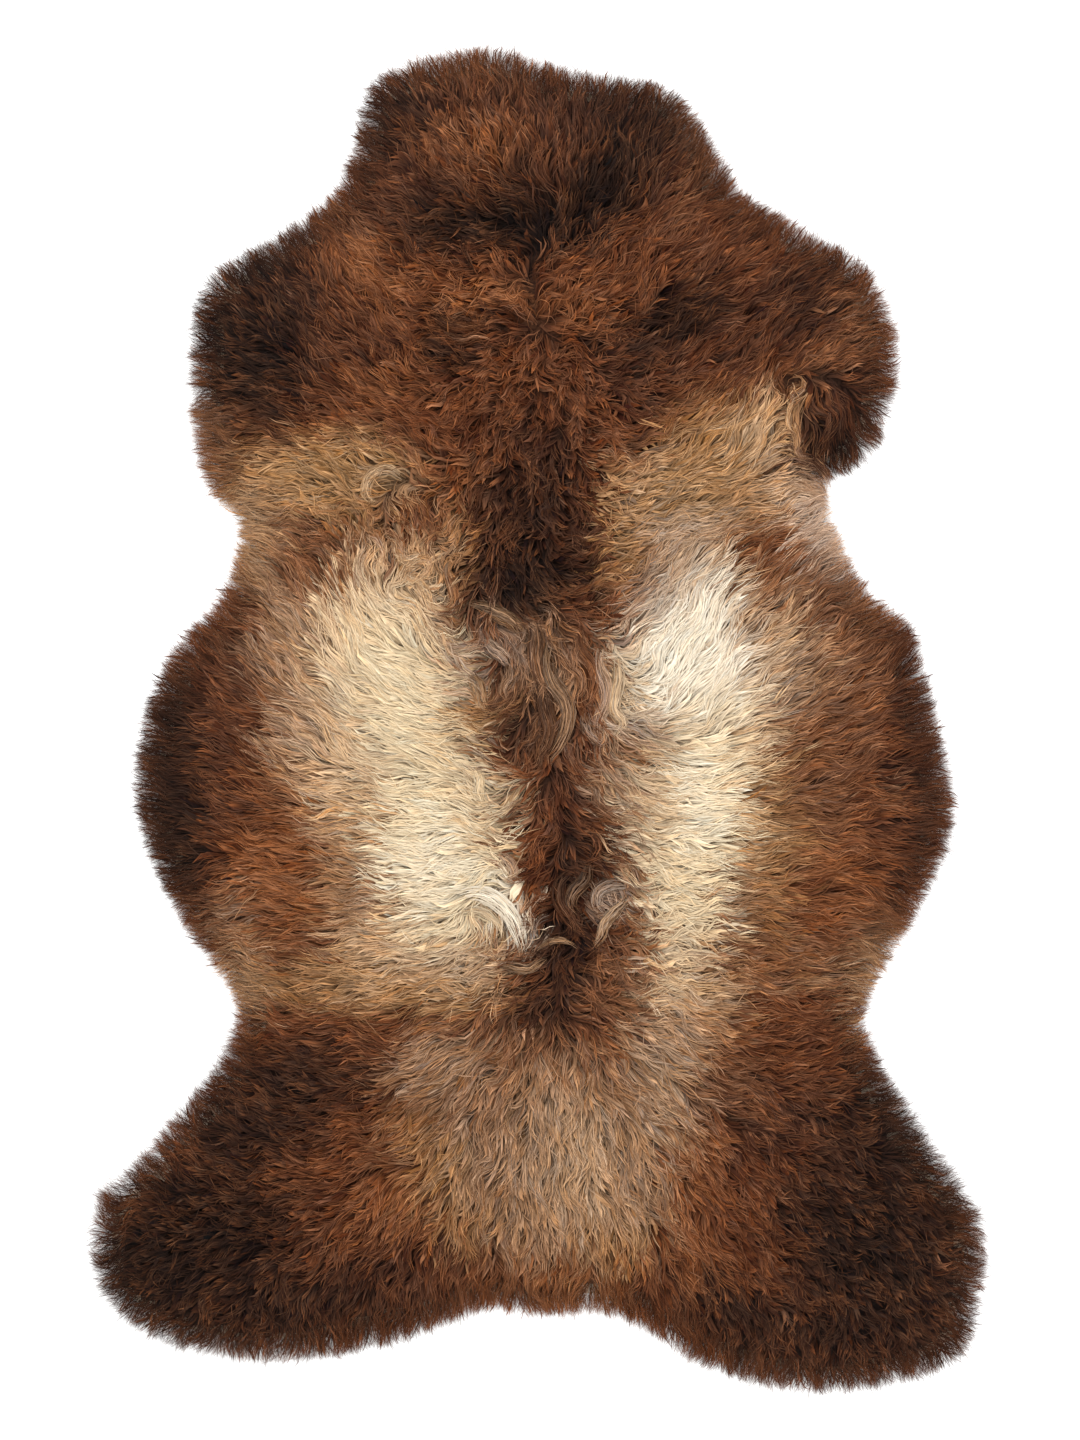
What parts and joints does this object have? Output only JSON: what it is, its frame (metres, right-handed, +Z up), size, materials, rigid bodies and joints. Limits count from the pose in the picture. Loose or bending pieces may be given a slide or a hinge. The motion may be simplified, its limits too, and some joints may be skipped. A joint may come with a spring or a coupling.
{
  "type": "sheepskin rug",
  "caption": "Whole dressed sheepskin in its natural outline, wool side up, laid flat as a rug or throw.",
  "frame": {"origin": "middle of the flat underside, on the surface that the rug lies on", "axes": "+Y along the back towards the neck, +Z up through the wool"},
  "size_m": [0.7104, 1.0546, 0.052],
  "materials": {
    "wool": "matte",
    "hide": "suede"
  },
  "bodies": {
    "root": {"sheepskin": "wool"}
  },
  "joints": []
}
